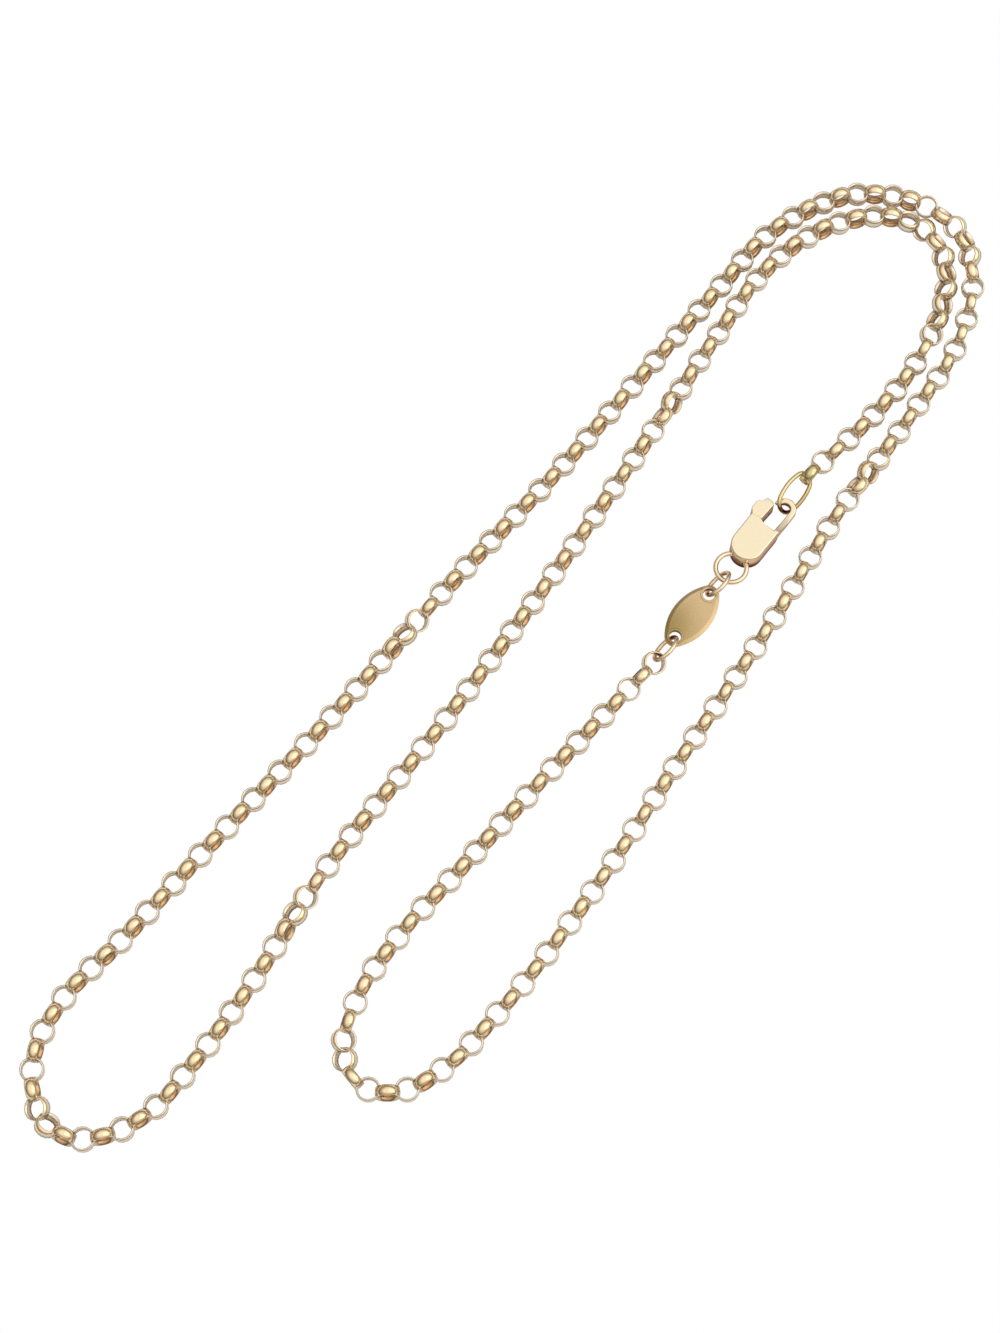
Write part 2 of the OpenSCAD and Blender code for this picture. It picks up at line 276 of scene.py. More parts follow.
def set_up(tree, node, **settings):
    """Gives a node its settings, and fills its sockets, each by its name."""
    for name, value in settings.items():
        if name in node.bl_rna.properties:
            setattr(node, name, value)
        else:
            fill(tree, node.inputs[name.replace("_", " ")], value)
    return node


def add_node(tree, kind, **settings):
    """Adds a node and sets it up."""
    return set_up(tree, tree.nodes.new(kind), **settings)


def work_out(tree, kind, operation, a, b):
    """Adds a Math or Vector Math node on two values, and gives its number."""
    node = add_node(tree, kind, operation=operation)
    fill(tree, node.inputs[0], a)
    fill(tree, node.inputs[1], b)
    return node.outputs["Value"]


def mix(tree, kind, share, first, second):
    """Adds a Mix node between two colours or numbers, and gives its result."""
    node = add_node(tree, "ShaderNodeMix", data_type=kind, Factor=share, A=first, B=second)
    return node.outputs["Result"]


def opaque(colour):
    """A colour with the full alpha that a socket for colours asks for."""
    return (*colour, 1)


print("kinds of sockets:", ", ".join(FIELDS))

# %% [markdown]
# # What the gold shares: fine wear and a drift of tone
# Polished gold is never quite even. It carries hair-fine scratches from wear, a faint haze
# where it was handled, and a tone that drifts a little from warm to olive. A photo texture
# could show this, but noise is better here: it has no seams, it works at any zoom, and one
# group can serve every piece with its own numbers. The scratches are noise that is squeezed
# in one direction, which turns its blots into lines. All of it reads Object coordinates, so it
# stays with the metal.

# %% Groups for wear and tone
NOISE_TURN = (0.3, 0.2, 0.6)


def fine_wear_group():
    """Scratches and haze: a height for Bump and a roughness that drifts round its base."""
    group, given, made = new_group(
        "fine_wear",
        [("Position", "Vector", None), ("Scratch Scale", "Float", 1500),
         ("Stretch", "Float", 9), ("Haze Scale", "Float", 700),
         ("Roughness", "Float", 0.15), ("Haze", "Float", 0.06)],
        [("Height", "Float"), ("Roughness", "Float")])
    thin = add_node(group, "ShaderNodeCombineXYZ", X=1, Y=given.outputs["Stretch"], Z=1)
    along = add_node(group, "ShaderNodeMapping", Vector=given.outputs["Position"],
                     Rotation=NOISE_TURN, Scale=thin.outputs["Vector"])
    scratch = add_node(group, "ShaderNodeTexNoise", Vector=along.outputs["Vector"],
                       Scale=given.outputs["Scratch Scale"], Detail=3)
    haze = add_node(group, "ShaderNodeTexNoise", Vector=given.outputs["Position"],
                    Scale=given.outputs["Haze Scale"], Detail=2)
    drift = work_out(group, "ShaderNodeMath", "SUBTRACT", haze.outputs["Fac"], 0.5)
    amount = work_out(group, "ShaderNodeMath", "MULTIPLY", drift, given.outputs["Haze"])
    total = work_out(group, "ShaderNodeMath", "ADD", amount, given.outputs["Roughness"])
    set_up(group, made, Height=scratch.outputs["Fac"], Roughness=total)
    return group


def warm_drift_group():
    """A colour that drifts between two tones of gold."""
    group, given, made = new_group(
        "warm_drift",
        [("Position", "Vector", None), ("Warm", "Color", (0.9, 0.7, 0.4, 1)),
         ("Olive", "Color", (0.8, 0.7, 0.4, 1)), ("Scale", "Float", 300)],
        [("Color", "Color")])
    noise = add_node(group, "ShaderNodeTexNoise", Vector=given.outputs["Position"],
                     Scale=given.outputs["Scale"], Detail=1)
    spread = add_node(group, "ShaderNodeMapRange", Value=noise.outputs["Fac"],
                      From_Min=0.35, From_Max=0.65)
    colour = mix(group, "RGBA", spread.outputs["Result"], given.outputs["Warm"],
                 given.outputs["Olive"])
    set_up(group, made, Color=colour)
    return group


FINE_WEAR = fine_wear_group()
WARM_DRIFT = warm_drift_group()
print("groups:", FINE_WEAR.name, WARM_DRIFT.name)

# %% [markdown]
# # Painted shade low down, and where pieces hold each other
# Small jewellery looks darker where it faces the table and other metal, and darkest in the
# crooks where two pieces hang in each other. At this size the light alone shows too little of
# it, so two groups paint that shade into the colour: one works by the height of a point, the
# other by its distance from a centre. Where that measure is small the colour is a deep one,
# painted shade, and it eases to the given colour as the measure grows.

# %% Groups for shade
def shade_group(name, measure, *extra):
    """A colour painted deep with shade where a measure is below Full, unchanged from End on."""
    group, given, made = new_group(
        name,
        [("Position", "Vector", None), ("Color", "Color", (0.9, 0.7, 0.4, 1)),
         ("Deep", "Color", (0.3, 0.2, 0.1, 1)), ("Full", "Float", 0.0003),
         ("End", "Float", 0.001), *extra],
        [("Color", "Color")])
    rise = add_node(group, "ShaderNodeMapRange", interpolation_type="SMOOTHSTEP",
                    Value=measure(group, given), From_Min=given.outputs["Full"],
                    From_Max=given.outputs["End"])
    colour = mix(group, "RGBA", rise.outputs["Result"], given.outputs["Deep"],
                 given.outputs["Color"])
    set_up(group, made, Color=colour)
    return group


def by_height(group, given):
    """The height of a point above the table."""
    split = add_node(group, "ShaderNodeSeparateXYZ", Vector=given.outputs["Position"])
    return split.outputs["Z"]


def by_distance(group, given):
    """The distance of a point from the group's centre."""
    return work_out(group, "ShaderNodeVectorMath", "DISTANCE", given.outputs["Position"],
                    given.outputs["Centre"])


LOW_SHADE = shade_group("low_shade", by_height)
NEAR_SHADE = shade_group("near_shade", by_distance, ("Centre", "Vector", (0, 0, 0)))
print("groups:", LOW_SHADE.name, NEAR_SHADE.name)

# %% [markdown]
# # Painted shade where the pieces hold each other
# One link hangs in the next, so their boxes overlap there, and the middle of that overlap is
# the middle of the painted shade. The frame gives the boxes. The inside of the hook is one
# more such place. The tag has one of its own, wide and weak: painted shade darkens its corner
# on the side away from the light.

# %% Holds
HOOK_R = 1.2
TAG_CORNER = (1.2, -0.4)
# Tones of painted shade: dark where pieces hold each other, weak on the tag's corner away from the
# light
HOLD_SHADE = (0.35, 0.17, 0.07)
TAG_CORNER_SHADE = (0.36, 0.25, 0.09)


def hold_of(one, other):
    """Middle of the space that the boxes of two solids share, in metres."""
    (low, high), (other_low, other_high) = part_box(one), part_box(other)
    return [(max(low[i], other_low[i]) + min(high[i], other_high[i])) / 2 for i in range(3)]


clasp_low, clasp_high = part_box("clasp_body")
hook_centre = (clasp_high.x - HOOK_R * MM, clasp_low.y + HOOK_R * MM,
               (clasp_low.z + clasp_high.z) / 2)
tag_low, tag_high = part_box("tag")
tag_corner = (tag_low.x + TAG_CORNER[0] * MM, tag_high.y + TAG_CORNER[1] * MM, tag_high.z)

# Each hold: its middle, the radii at which its painted shade starts to fade and ends, in mm, its
# tone
HOLDS = [
    (hold_of("first_link", "tag_link_chain"), 0.3, 0.75, HOLD_SHADE),
    (hold_of("tag_link_chain", "tag"), 0.3, 0.7, HOLD_SHADE),
    (hold_of("tag", "tag_link_ring"), 0.3, 0.7, HOLD_SHADE),
    (hold_of("tag_link_ring", "jump_ring"), 0.2, 0.6, HOLD_SHADE),
    (hold_of("jump_ring", "clasp_body"), 0.35, 0.85, HOLD_SHADE),
    (hook_centre, 0.6, 0.85, HOLD_SHADE),
    (hold_of("end_link", "last_link"), 0.3, 0.75, HOLD_SHADE)
]
TAG_HOLDS = [(tag_corner, 0.3, 4.8, TAG_CORNER_SHADE)]
for centre, *_ in HOLDS:
    print("a hold at", [round(c / MM, 1) for c in centre])

# %% [markdown]
# # The five golds
# Every piece is gold, but not the same gold. The round links and the small ovals are
# polished and warm, the two links beyond the clasp are more yellow, the clasp is paler, and
# the tag is satin with an olive tint. One function builds a gold from two drifting tones and
# a list of painted shades, each with the heights at which it starts to fade and ends. The
# round links have two: a greyer painted reflection of the table, for those that lie flat below
# the tops of the standing ones, and a brown painted shade close to the table.

# %% Gold materials
TONE_SCALE = 300
SCRATCH_DEPTH = 0.02


def gold(name, warm, olive, shades, roughness, haze, scratch, scratch_scale=1500,
         stretch=9, edge=(1, 1, 1), holds=()):
    """A metal with drifting tones, painted shades, haze, fine scratches and a tint at its edges.
    """
    material = bpy.data.materials.new(name)
    material.use_nodes = True
    tree = material.node_tree
    place = tree.nodes.new("ShaderNodeTexCoord").outputs["Object"]
    tone = add_node(tree, "ShaderNodeGroup", node_tree=WARM_DRIFT, Position=place,
                    Warm=opaque(warm), Olive=opaque(olive), Scale=TONE_SCALE)
    # Painted shade by height, then painted shade round each place where pieces hold each other
    for deep, full, end in shades:
        tone = add_node(tree, "ShaderNodeGroup", node_tree=LOW_SHADE, Position=place,
                        Color=tone.outputs["Color"], Deep=opaque(deep), Full=full * MM,
                        End=end * MM)
    for centre, full, end, deep in [*holds, *HOLDS]:
        tone = add_node(tree, "ShaderNodeGroup", node_tree=NEAR_SHADE, Position=place,
                        Color=tone.outputs["Color"], Deep=opaque(deep), Full=full * MM,
                        End=end * MM, Centre=centre)
    wear = add_node(tree, "ShaderNodeGroup", node_tree=FINE_WEAR, Position=place,
                    Scratch_Scale=scratch_scale, Stretch=stretch, Roughness=roughness,
                    Haze=haze)
    bump = add_node(tree, "ShaderNodeBump", Strength=scratch, Distance=SCRATCH_DEPTH * MM,
                    Height=wear.outputs["Height"])
    set_up(tree, tree.nodes["Principled BSDF"], Metallic=1, Specular_Tint=opaque(edge),
           Base_Color=tone.outputs["Color"], Roughness=wear.outputs["Roughness"],
           Normal=bump.outputs["Normal"])
    return material


# Each row of shades is painted shade towards the table; the round links' first row is a greyer
# painted reflection of the table on the flat links
LINK_GOLD = gold(
    "polished_link", warm=(1.0, 0.74, 0.46), olive=(0.97, 0.77, 0.47),
    shades=[((0.82, 0.71, 0.55), 1.7, 2.0), ((0.52, 0.27, 0.09), 0, 1.1)],
    roughness=0.18, haze=0.08, scratch=0.3)
WIRE_GOLD = gold(
    "polished_wire", warm=(0.95, 0.71, 0.47), olive=(0.88, 0.71, 0.47),
    shades=[((0.60, 0.38, 0.20), 0, 1.0)], roughness=0.14, haze=0.08, scratch=0.3)
END_GOLD = gold(
    "yellow_wire", warm=(0.82, 0.62, 0.31), olive=(0.72, 0.60, 0.30),
    shades=[((0.44, 0.29, 0.10), 0, 1.2)], roughness=0.15, haze=0.08, scratch=0.3)
CLASP_GOLD = gold(
    "mirror_clasp", warm=(0.94, 0.79, 0.56), olive=(0.93, 0.80, 0.54),
    shades=[((0.12, 0.04, 0.02), 0.6, 1.5)], roughness=0.12, haze=0.04, scratch=0.02,
    edge=(0.8, 0.6, 0.55))
TAG_GOLD = gold(
    "satin_tag", warm=(0.66, 0.465, 0.25), olive=(0.59, 0.445, 0.225),
    shades=[((0.3, 0.2, 0.1), 0, 0.9)], roughness=0.34, haze=0.10, scratch=1.0,
    scratch_scale=3500, stretch=1.5, holds=TAG_HOLDS)
GOLDS = LINK_GOLD, WIRE_GOLD, END_GOLD, CLASP_GOLD, TAG_GOLD
print("golds:", ", ".join(each.name for each in GOLDS))

# %% [markdown]
# # One round link
# A real rolo link is a short strip of half-round wire, bent to a ring and soldered: thickest
# in the middle of its width and thinner at its two edges, inside and outside. That shape is
# what lets two links sit so close together. A torus would be too fat, so a six-sided section
# is squeezed to the strip's thickness and width, and then spun round the middle of the link.
# The chain has hundreds of links, so each has only 96 faces.

# %% Round link
LINK_SIDES = 16
LINK_WALL = 0.27
LINK_BAND = 0.98
SECTION_SIDES = 6
link_od = size_of("first_link").x
section_x = (link_od - LINK_WALL) / 2


def round_link():
    """One link round the origin, with its axis along Z."""
    bpy.ops.mesh.primitive_circle_add(
        vertices=SECTION_SIDES, radius=1, location=(section_x, 0, 0),
        rotation=(math.pi / 2, math.pi / 2, 0))
    link = begin("round_link")
    bpy.ops.mesh.select_all(action="SELECT")
    tall = math.sin(math.radians(60))
    bpy.ops.transform.resize(value=(LINK_WALL / 2, 1, LINK_BAND / 2 / tall),
                             center_override=(section_x, 0, 0))
    bpy.ops.mesh.spin(steps=LINK_SIDES, angle=2 * math.pi, center=(0, 0, 0), axis=(0, 0, 1))
    finish_wire(link)
    return link


link = round_link()
print(f"a link: {len(link.data.polygons)} faces, {link.dimensions.x:.2f} mm across")

# %% [markdown]
# # The way of the chain
# The necklace lies folded. From the tag it runs left, round a bend and back, then round the
# wide bend on the right, left again and round the far bend, and back once more to the inner
# bend on the right and home to the clasp. The points are the same ones that the solid tube of
# the chain follows, and a smooth cubic curve runs between them. They were chosen where the
# way changes its bend, so the straight stretches need only a few.

# %% Route
first_at = middle_of("first_link")
last_at = middle_of("last_link")
ROUTE = [
    (first_at.x, first_at.y), (-13, -5.5), (-22, -5), (-31, -4.5), (-38, -5.25), (-42, -7),
    (-43.75, -9.25), (-43.75, -11.75), (-42, -14), (-38, -15.75), (-31, -16.5),
    (-19, -16.5), (0, -15), (18, -13.5), (30, -12), (44, -11.5), (54, -10.5), (60.75, -7.5),
    (64.25, -3.5), (64.75, 0), (63.5, 4.5), (61, 8), (57, 10.5), (51.5, 12.25), (44, 12.5),
    (32, 12.75), (18, 13), (0, 14), (-19, 14.5), (-36, 15.5), (-47, 16), (-55, 16.6),
    (-60, 15.5), (-63.25, 13), (-64.75, 10), (-64.25, 7.25), (-61.75, 4.75), (-58, 3.25),
    (-52, 3), (-43.5, 3.5), (-32, 5), (-11, 5.5), (7.5, 6.5), (25, 8), (40, 9.5),
    (47, 10), (52.5, 9.25), (58, 6.75), (61.25, 3.5), (62.25, 0), (61.5, -2.75),
    (59.25, -5.25), (55, -7.25), (49, -8.5), (42, -8.5), (last_at.x, last_at.y)
]
CURVE_STEPS = 60


def smooth_curve(route):
    """Many points on the smooth curve through the route."""
    points = [Vector(p) for p in route]
    spans = [(b - a).length for a, b in zip(points, points[1:])]
    runs = [(b - a) / s for a, b, s in zip(points, points[1:], spans)]
    headings = [runs[0]]
    for i in range(1, len(runs)):
        pull = runs[i - 1] * spans[i] + runs[i] * spans[i - 1]
        headings.append(pull / (spans[i - 1] + spans[i]))
    headings.append(runs[-1])
    curve = []
    for i, span in enumerate(spans):
        for step in range(CURVE_STEPS):
            t = step / CURVE_STEPS
            curve.append(
                (2 * t**3 - 3 * t**2 + 1) * points[i]
                + (t**3 - 2 * t**2 + t) * span * headings[i]
                + (3 * t**2 - 2 * t**3) * points[i + 1]
                + (t**3 - t**2) * span * headings[i + 1])
    return curve + [points[-1]]


centre_line = smooth_curve(ROUTE)
print(f"route: {len(ROUTE)} chosen points, {len(centre_line)} on the smooth curve")

# %% [markdown]
# # Links at equal steps
# A chain is neither stretched nor squeezed anywhere, so its links sit at equal steps along
# the curve. The curve is measured by adding up its short straight bits, and each stop keeps
# the direction of the bit that it lies on, because that is where its link points.

# %% Places of the links
LINKS = 258


def equal_steps(curve, count):
    """Points and directions at equal steps along a curve."""
    reached = [0.0]
    for a, b in zip(curve, curve[1:]):
        reached.append(reached[-1] + (b - a).length)
    stops, i = [], 0
    for k in range(count):
        goal = reached[-1] * k / (count - 1)
        while i < len(curve) - 2 and reached[i + 1] < goal:
            i += 1
        step = curve[i + 1] - curve[i]
        share = (goal - reached[i]) / step.length
        stops.append((curve[i] + share * step, step.normalized()))
    return stops, reached[-1]


stops, chain_length = equal_steps(centre_line, LINKS)
print(f"chain: {LINKS} links on {chain_length:.1f} mm, one every {chain_length / (LINKS - 1):.3f}")

# %% [markdown]
# # How the links turn
# Each link is turned a quarter against the one before, so every second link shows its round
# face. Along the way the chain twists: where it does, the links that lay flat come to stand
# on edge, and in some bends all of them lean halfway. A short table gives the twist at a few
# links, and the twist eases from one to the next. All of them also lean back a few degrees,
# away from the camera, so the flat ones mirror a lower part of the light tent. A little wobble
# on top keeps the links from lying like soldiers, and a seeded draw gives the same in each
# run. The two end links lie as their solids do.

# %% Twist of the chain
TWIST = [
    (0, 24), (4, 0), (24, 0), (29, 90), (70, 90), (75, 0), (86, 0), (88, 45), (91, 45),
    (93, 0), (130, 0), (135, 90), (163, 90), (168, 0), (182, 0), (187, 90), (216, 90),
    (221, 0), (237, 0), (240, 45), (244, 45), (248, 0), (253, 0), (257, 15)
]
WOBBLE_ROLL = 3.5
WOBBLE_TURN = 2.5
LEAN_BACK = 5
TO_CAMERA = Vector((-0.79, -0.61, 0))
draw = random.Random(11)


def twist_at(k):
    """Twist of the chain at link k, in degrees, eased between the rows of the table."""
    (start, before), (end, after) = next(
        rows for rows in zip(TWIST, TWIST[1:]) if k <= rows[1][0])
    t = (k - start) / (end - start)
    return before + (after - before) * (3 * t**2 - 2 * t**3)


def reach_down(roll):
    """How far a link that is rolled by this angle reaches below its middle."""
    corner = (link_od - LINK_WALL / 2) / 2
    across, up = abs(math.sin(roll)), abs(math.cos(roll))
    return max(link_od / 2 * across, corner * across + LINK_BAND / 2 * up)


def place_link(k):
    """Place of link k on the table, as a matrix."""
    point, ahead = stops[k]
    roll = 90 * k + twist_at(k)
    inner = 0 < k < LINKS - 1
    ahead = Vector((ahead.x, ahead.y, 0)) if inner else Vector((-1, 0, 0))
    side = Vector((0, 0, 1)).cross(ahead)
    if inner:
        roll += draw.uniform(-WOBBLE_ROLL, WOBBLE_ROLL) - LEAN_BACK * side.dot(TO_CAMERA)
        turn = Matrix.Rotation(math.radians(draw.uniform(-WOBBLE_TURN, WOBBLE_TURN)), 3, "Z")
        ahead.rotate(turn)
        side.rotate(turn)
    roll = math.radians(roll)
    axis = math.cos(roll) * Vector((0, 0, 1)) + math.sin(roll) * side
    height = first_at.z if k == 0 else max(link_od / 2, reach_down(roll))
    turned = Matrix((ahead, axis.cross(ahead), axis)).transposed().to_4x4()
    return Matrix.Translation((point.x, point.y, height)) @ turned


places = [place_link(k) for k in range(LINKS)]
print(f"link middles lie {min(p.translation.z for p in places):.2f} to",
      f"{max(p.translation.z for p in places):.2f} mm above the table")

# %% [markdown]
# # Copying the links to their places
# The one link is copied to every place, each copy with its own mesh. All but the two at the
# ends are then joined, because they stand for one solid of the frame. The first one hangs in
# the oval link of the tag, and the last one holds the long end link and shares its yellower
# gold, so these two stay pieces of their own.

# %% Chain
def copy_of(piece, name, place):
    """A copy of a piece with its own mesh, put in its place."""
    twin = piece.copy()
    twin.data = piece.data.copy()
    twin.name = twin.data.name = name
    bpy.context.scene.collection.objects.link(twin)
    twin.matrix_world = place
    return twin


def apply_place(piece, *others):
    """Applies the place of each object to its mesh, and joins them all to the first."""
    pick(piece, *others)
    bpy.ops.object.transform_apply(location=True, rotation=True, scale=True)
    if others:
        bpy.ops.object.join()
    return piece


links = [copy_of(link, f"link_{k}", place) for k, place in enumerate(places)]
first_link, *middle_links, last_link = links
bpy.data.objects.remove(link)
chain = apply_place(*middle_links)
chain.name = chain.data.name = "chain_links"
settle(chain, LINK_GOLD, "link_gold", "necklace", "chain")
for end_piece, name, node, material in (
        (first_link, "first_round_link", "first_link", LINK_GOLD),
        (last_link, "last_round_link", "last_link", END_GOLD)):
    apply_place(end_piece)
    end_piece.name = end_piece.data.name = name
    settle(end_piece, material, "link_gold", "necklace", node)

# %% [markdown]
# # Bending by spinning
# A jeweller bends wire over a mandrel, and bending is just what the spin tool does: what is
# selected is turned about a centre in steps, and leaves a skin behind. An oval is bent about
# four centres in turn, for two tight arcs at the tips and two long, nearly straight ones at
# the sides. The side arcs follow from the two half sizes and the radius of the tips. The tag
# has the outline of such an oval too, so it shares these helpers.

# %% Helpers for ovals
def spin_wire(degrees, centre, steps):
    """Bends what is selected onwards about a centre."""
    bpy.ops.mesh.spin(steps=steps, angle=-math.radians(degrees),
                      center=(*centre, 0), axis=(0, 0, 1))


def oval_sides(a, b, tip):
    """Radius and half angle, in degrees, of the side arcs of an oval with these tip arcs."""
    side = ((a - tip)**2 + b * b - tip * tip) / (2 * (b - tip))
    return side, math.degrees(math.asin((a - tip) / (side - tip)))


def oval_start(a, b, tip):
    """Where the first tip arc of an oval starts, and its angle there."""
    _, half_side = oval_sides(a, b, tip)
    angle = math.radians(half_side - 90)
    return a - tip + tip * math.cos(angle), tip * math.sin(angle), angle


def spin_oval(a, b, tip, tip_steps, side_steps):
    """Spins what is selected round an oval: a tip, a side, the other tip, the other side."""
    side, half_side = oval_sides(a, b, tip)
    for way in (1, -1):
        spin_wire(180 - 2 * half_side, (way * (a - tip), 0), tip_steps)
        spin_wire(2 * half_side, (0, way * (b - side)), side_steps)


print("a tip arc of 1 mm in an oval of 4 by 2.4 mm asks for side arcs of",
      f"{oval_sides(2, 1.2, 1)[0]:.1f} mm")

# %% [markdown]
# # The oval wire links
# Two oval links hold the tag, and a longer one takes the hook of the clasp. Each is a piece
# of round wire, so a round section is spun round the oval until it meets itself. The link is
# then leaned about its long axis, because a loose oval neither stands nor lies quite flat.

# %% Oval links
WIRE_SIDES = 12
TIP_SHARE = 0.85
TIP_STEPS = 14
SIDE_STEPS = 5
SMALL_WIRE, SMALL_WIDTH, SMALL_LEAN = 0.45, 2.8, -54
END_WIRE, END_WIDTH, END_LEAN = 0.45, 3.1, 47


def oval_link(name, length, width, wire, lean, place):
    """A wire link of two tip arcs and two side arcs, leaned about its long axis."""
    a, b = (length - wire) / 2, (width - wire) / 2
    tip = b * TIP_SHARE
    x, y, angle = oval_start(a, b, tip)
    bpy.ops.mesh.primitive_circle_add(
        vertices=WIRE_SIDES, radius=wire / 2, location=(x, y, 0), rotation=(math.pi / 2, 0, angle))
    piece = begin(name)
    bpy.ops.mesh.select_all(action="SELECT")
    spin_oval(a, b, tip, TIP_STEPS, SIDE_STEPS)
    finish_wire(piece)
    piece.rotation_euler.x = math.radians(lean)
    piece.location = place
    return piece


for name, node in (
        ("oval_link_by_chain", "tag_link_chain"), ("oval_link_by_ring", "tag_link_ring")):
    oval = oval_link(
        name, size_of(node).x, SMALL_WIDTH, SMALL_WIRE, SMALL_LEAN, middle_of(node))
    settle(oval, WIRE_GOLD, "wire_gold", "necklace", node)
oval = oval_link("long_end_link", size_of("end_link").x, END_WIDTH, END_WIRE, END_LEAN,
                 middle_of("end_link"))
settle(oval, END_GOLD, "wire_gold", "necklace", "end_link")

# %% [markdown]
# # The jump ring
# The plain round ring between the tag and the clasp is cut from a coil of wire and closed
# again, so it is the same spin once more, with one centre and a full turn.

# %% Jump ring
RING_SIDES = 16
RING_STEPS = 48
ring_size = size_of("jump_ring")
ring_wire = ring_size.z
ring_turn = (ring_size.x - ring_wire) / 2
bpy.ops.mesh.primitive_circle_add(
    vertices=RING_SIDES, radius=ring_wire / 2, location=(ring_turn, 0, 0),
    rotation=(math.pi / 2, 0, 0))
ring = begin("round_jump_ring")
bpy.ops.mesh.select_all(action="SELECT")
spin_wire(360, (0, 0), RING_STEPS)
finish_wire(ring)
ring.location = middle_of("jump_ring")
settle(ring, WIRE_GOLD, "wire_gold", "necklace", "jump_ring")

# %% [markdown]
# # Outlines as ribbons
# The tag, the body of the clasp and its lever are all plates with an outline of straight
# runs and arcs. Such an outline can be drawn by hand with two moves: an upright edge is
# extruded along a straight run and spun round the centre of an arc. The ribbon that it
# leaves is the side wall of the piece, and two flat faces close it above and below. What is
# round, such as a hole or a pin, is a disc that is cut out or joined.

# %% Helpers for outlines
RIBBON_MERGE = 0.002
SAME_LEVEL = 0.001
FACING = 0.9
CUT_H = 2


def upright_edge(name, at, height):
    """Starts a piece as one upright edge, made from a plane that loses its far side."""
    bpy.ops.mesh.primitive_plane_add(
        size=height, location=(at[0] + height / 2, at[1], 0), rotation=(math.pi / 2, 0, 0))
    piece = bpy.context.object
    pick(piece)
    bpy.ops.object.transform_apply(location=True, rotation=True, scale=True)
    piece = begin(name)
    select(piece, "verts", lambda v: v.co.x > at[0] + height / 2)
    bpy.ops.mesh.delete(type="VERT")
    bpy.ops.mesh.select_all(action="SELECT")
    return piece


def run_on(step_x, step_y):
    """Extrudes what is selected along a straight run."""
    bpy.ops.mesh.extrude_region_move(
        TRANSFORM_OT_translate={"value": (step_x, step_y, 0)})


def close_ribbon(piece, height):
    """Merges the ends of a ribbon and closes it above and below."""
    bpy.ops.mesh.select_all(action="SELECT")
    bpy.ops.mesh.remove_doubles(threshold=RIBBON_MERGE)
    for level in (height / 2, -height / 2):
        select(piece, "edges",
               lambda e: all(abs(v.co.z - level) < SAME_LEVEL for v in e.verts))
        bpy.ops.mesh.edge_face_add()
    bpy.ops.mesh.select_all(action="SELECT")
    bpy.ops.mesh.normals_make_consistent(inside=False)


def disc(name, radius, height, at=(0, 0, 0), sides=48):
    """A plain round cutter, collar or pin."""
    bpy.ops.mesh.primitive_cylinder_add(
        vertices=sides, radius=radius, depth=height, location=at)
    bpy.context.object.name = name
    return bpy.context.object


print(f"the ends of a ribbon merge within {RIBBON_MERGE} mm")

# %% [markdown]
# # The tag
# The tag is a small plate in the shape of a leaf with round tips, stamped from sheet. Its
# edge slopes down on both faces, and each of its two holes has a raised, polished rim where
# the link turns in it. The slope is an inset of the flat face that is lifted as it shrinks.
# The holes are cut through, and each rim is a collar that is joined to the plate.

# %% Tag
TAG_TIP = 1.05
TAG_EDGE = 0.1
TAG_SLOPE = 0.35
TAG_THICK = 0.4
TAG_TIP_STEPS = 16
TAG_SIDE_STEPS = 20
TAG_HOLE = 0.6
RIM_WIDTH = 0.25
RIM_HEIGHT = 0.06
COLLAR_ROUND = 0.05
TAG_CREASE = 15
tag_size = size_of("tag")


def tag_plate():
    """The leaf-shaped plate with sloped edges."""
    leaf = (tag_size.x / 2, tag_size.y / 2, TAG_TIP)
    x, y, _ = oval_start(*leaf)
    plate = upright_edge("plain_tag", (x, y), TAG_EDGE)
    spin_oval(*leaf, TAG_TIP_STEPS, TAG_SIDE_STEPS)
    close_ribbon(plate, TAG_EDGE)
    for up in (1, -1):
        select(plate, "faces", lambda f: f.normal.z * up > FACING)
        bpy.ops.mesh.inset(thickness=TAG_SLOPE, depth=(TAG_THICK - TAG_EDGE) / 2)
    pick(plate)
    return plate


def rim(at):
    """A collar with rounded edges round a hole."""
    collar = disc("rim", TAG_HOLE + RIM_WIDTH, TAG_THICK + 2 * RIM_HEIGHT, at)
    cut_or_join(collar, disc("bore", TAG_HOLE, CUT_H, at), "DIFFERENCE")
    put_on(collar, "BEVEL", width=COLLAR_ROUND, segments=BEVEL_STEPS, limit_method="ANGLE")
    return collar


tag = tag_plate()
hole_at = tag_size.x / 2 - TAG_TIP
hole_places = [(side * hole_at, 0, 0) for side in (-1, 1)]
for place in hole_places:
    cut_or_join(tag, disc("hole", TAG_HOLE + RIM_WIDTH / 2, CUT_H, place), "DIFFERENCE")
for place in hole_places:
    cut_or_join(tag, rim(place), "UNION")
face_outwards(tag)
smooth(tag, TAG_CREASE)
tag.location = middle_of("tag")
settle(tag, TAG_GOLD, "tag_gold", "necklace", "tag")

# %% [markdown]
# # The plate of the clasp
# A lobster clasp is a thick plate with a round tail. Two cheeks hold the lever between them,
# and their front edge is an arc round the lever's pin. The outline is a ribbon again. It runs
# from the root of the arm back round the tail, forward on the lever's side, and down the arc.
# The rim is rounded wide, but the seam towards the lever stays sharp, so it shows as a mere
# hairline.

